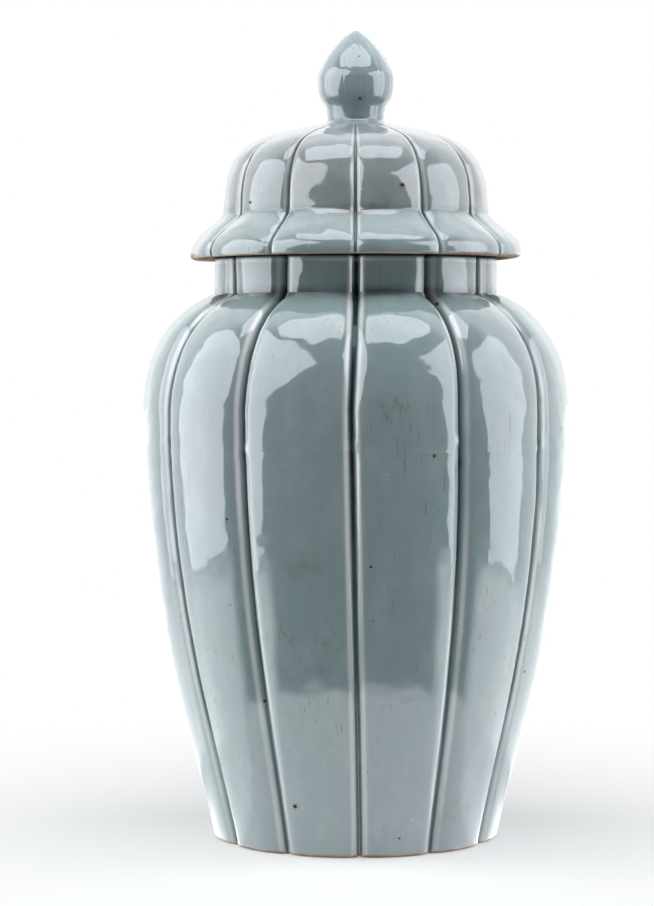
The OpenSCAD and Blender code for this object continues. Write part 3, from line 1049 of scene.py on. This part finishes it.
# Brightness of the floor as the glaze mirrors it, by the direction of its spot as seen from the
# jar: 0 straight in front, 1 straight behind. The table's stops fade into the far floor's.
TABLE_STOPS = [
    (0.0, 0.12), (0.26, 0.12), (0.33, 4.7), (0.55, 4.7), (0.63, 3.1), (0.76, 2.0), (1.0, 1.2),
]
FAR_STOPS = [(0.0, 0.12), (0.47, 0.25), (0.58, 2.4), (0.86, 2.3), (1.0, 1.0)]
TABLE_FADE_IN, TABLE_FADE_OUT = 0.65, 1.0
FLOOR_TOP = 5.0
# The bright disc that the jar stands on: its radius and soft edge, its brightness in front and
# behind, and between which directions it fades
DISC_R, DISC_EDGE = 0.31, 0.015
DISC_FRONT, DISC_BACK = 3.7, 1.3
DISC_FADE_FROM, DISC_FADE_TO = 0.46, 0.72
# Close behind the foot the disc counts alone
CLOSE_R, CLOSE_FADE_R = 0.22, 0.27
CLOSE_FROM, CLOSE_FULL = 0.38, 0.46
# For the camera, the floor is lit paper near the jar and turns into even white further out
PAPER = 0.8
PAPER_FADE_IN, PAPER_FADE_OUT = 0.12, 0.6
NEAR_WHITE = 0.4
FLOOR_HALF = 14.0
# The floor lies this far under the foot, so their faces don't meet
FLOOR_GAP = 0.2 * MM


def floor_glow(n, spot):
    """How bright the glaze sees each spot of the floor."""
    where = n.add("ShaderNodeSeparateXYZ", {0: spot}).outputs
    radius = n.add("ShaderNodeVectorMath", {0: spot}, operation="LENGTH").outputs["Value"]
    ahead = n.times(where[1], -1.0)
    angle = n.math("ARCTAN2", n.math("ABSOLUTE", where[0]), ahead)
    turn = n.math("DIVIDE", angle, math.pi)
    near = n.stops(turn, TABLE_STOPS, FLOOR_TOP)
    beyond = n.stops(turn, FAR_STOPS, FLOOR_TOP)
    around = n.times(n.mix(n.ramp(radius, TABLE_FADE_IN, TABLE_FADE_OUT), near, beyond), FLOOR_TOP)
    fading = n.ramp(turn, DISC_FADE_FROM, DISC_FADE_TO, DISC_FRONT, DISC_BACK)
    disc = n.times(n.ramp(radius, DISC_R + DISC_EDGE, DISC_R - DISC_EDGE), fading)
    close = n.times(n.ramp(radius, CLOSE_FADE_R, CLOSE_R), n.ramp(turn, CLOSE_FROM, CLOSE_FULL))
    return n.mix(close, n.math("MAXIMUM", around, disc), fading), radius


def build_floor():
    """A pale floor. In the glaze it shows as a lit disc with bright paper at both sides."""
    n = Nodes(bpy.data.materials.new("studio_floor"))
    path = n.add("ShaderNodeLightPath").outputs
    glow, radius = floor_glow(n, n.add("ShaderNodeNewGeometry").outputs["Position"])
    lit = n.add("ShaderNodeEmission", {"Color": FLOOR_TINT, "Strength": glow})
    paper = n.add("ShaderNodeBsdfDiffuse", {"Color": grey(PAPER)})
    white = n.add("ShaderNodeEmission", {"Color": grey(1.0), "Strength": 1.0})
    far = n.ramp(radius, PAPER_FADE_IN, PAPER_FADE_OUT, NEAR_WHITE, 1.0)
    seen = n.switch(n.times(far, path["Is Camera Ray"]), paper, white)
    material = n.finish(n.switch(path["Is Glossy Ray"], seen, lit))
    h = FLOOR_HALF
    floor = flat_face("studio_floor", [(-h, -h, 0), (h, -h, 0), (h, h, 0), (-h, h, 0)], material)
    floor.location.z = -FLOOR_GAP


# Brightness of the room by direction, from straight ahead of the jar's front (0) to straight
# behind it (1)
ROOM_STOPS = [(0.0, 0.12), (0.45, 0.25), (0.62, 2.4), (0.92, 2.3), (1.0, 1.0)]
ROOM_TOP = 3.0
ROOM_DIM = 0.04


def build_world():
    """White paper for the camera.

    For the glaze, it is a dark room in front and white paper at the sides and behind.
    """
    world = bpy.data.worlds.new("studio")
    bpy.context.scene.world = world
    n = Nodes(world, "ShaderNodeOutputWorld")
    path = n.add("ShaderNodeLightPath").outputs
    where = n.add("ShaderNodeTexCoord").outputs["Generated"]
    behind = n.add("ShaderNodeSeparateXYZ", {0: where}).outputs[1]
    span = {"Value": behind, "From Min": -1.0, "From Max": 1.0}
    share = n.add("ShaderNodeMapRange", span).outputs[0]
    room = n.add("ShaderNodeBackground", {0: n.stops(share, ROOM_STOPS, ROOM_TOP), 1: ROOM_TOP})
    dim = n.add("ShaderNodeBackground", {0: grey(ROOM_DIM)})
    white = n.add("ShaderNodeBackground", {0: grey(1.0)})
    lit = n.switch(path["Is Glossy Ray"], dim, room)
    n.finish(n.switch(path["Is Camera Ray"], lit, white))


build_floor()
build_world()
build_lights()


# ---------------------------------------------------------------- camera

LENS_MM, SENSOR_MM = 108.0, 36.0
CAMERA_DISTANCE = 1.897
CAMERA_HEIGHT = 0.342
TILT_DOWN = math.radians(2.28)
PAN_LEFT = math.radians(0.60)


def build_camera():
    """A camera in front of the jar, level with its upper belly, as the photo was taken."""
    data = bpy.data.cameras.new("camera")
    data.sensor_width = SENSOR_MM
    data.lens = LENS_MM
    data.clip_start, data.clip_end = 0.05, 60
    camera = bpy.data.objects.new("camera", data)
    camera.location = (0, -CAMERA_DISTANCE, CAMERA_HEIGHT)
    camera.rotation_euler = (math.pi / 2 - TILT_DOWN, 0, PAN_LEFT)
    bpy.context.scene.collection.objects.link(camera)
    bpy.context.scene.camera = camera


build_camera()
bpy.context.scene.view_settings.view_transform = "Standard"
